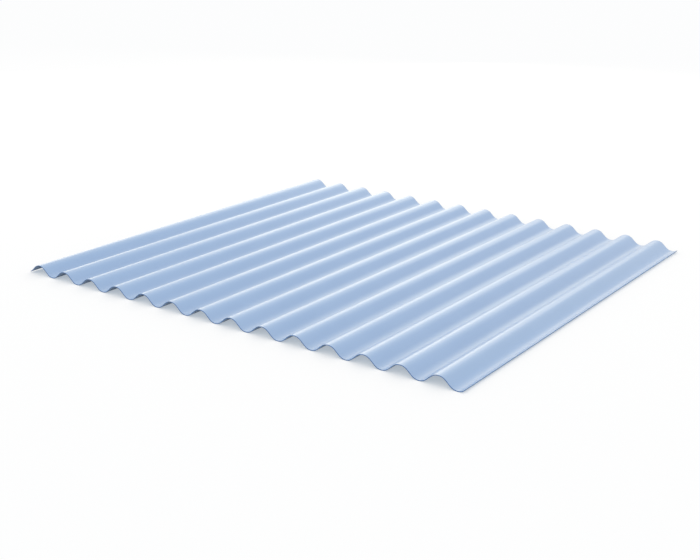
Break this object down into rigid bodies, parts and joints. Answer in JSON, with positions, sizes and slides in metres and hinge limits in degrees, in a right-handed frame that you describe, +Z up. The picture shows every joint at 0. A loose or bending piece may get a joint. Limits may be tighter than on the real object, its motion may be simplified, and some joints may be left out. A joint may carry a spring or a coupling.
{
  "type": "corrugated pvc sheet",
  "caption": "Rectangular corrugated PVC roofing and cladding sheet with even round waves running its whole length and square-cut edges.",
  "frame": {"origin": "middle of the sheet, at the height of the floor that its troughs rest on", "axes": "+X across the waves, +Y along the waves, +Z up"},
  "size_m": [1.068, 1, 0.0205],
  "materials": {
    "pvc": "smooth satin gloss, opaque pale blue, through-coloured"
  },
  "bodies": {
    "root": {"corrugated_sheet": "pvc"}
  },
  "joints": []
}
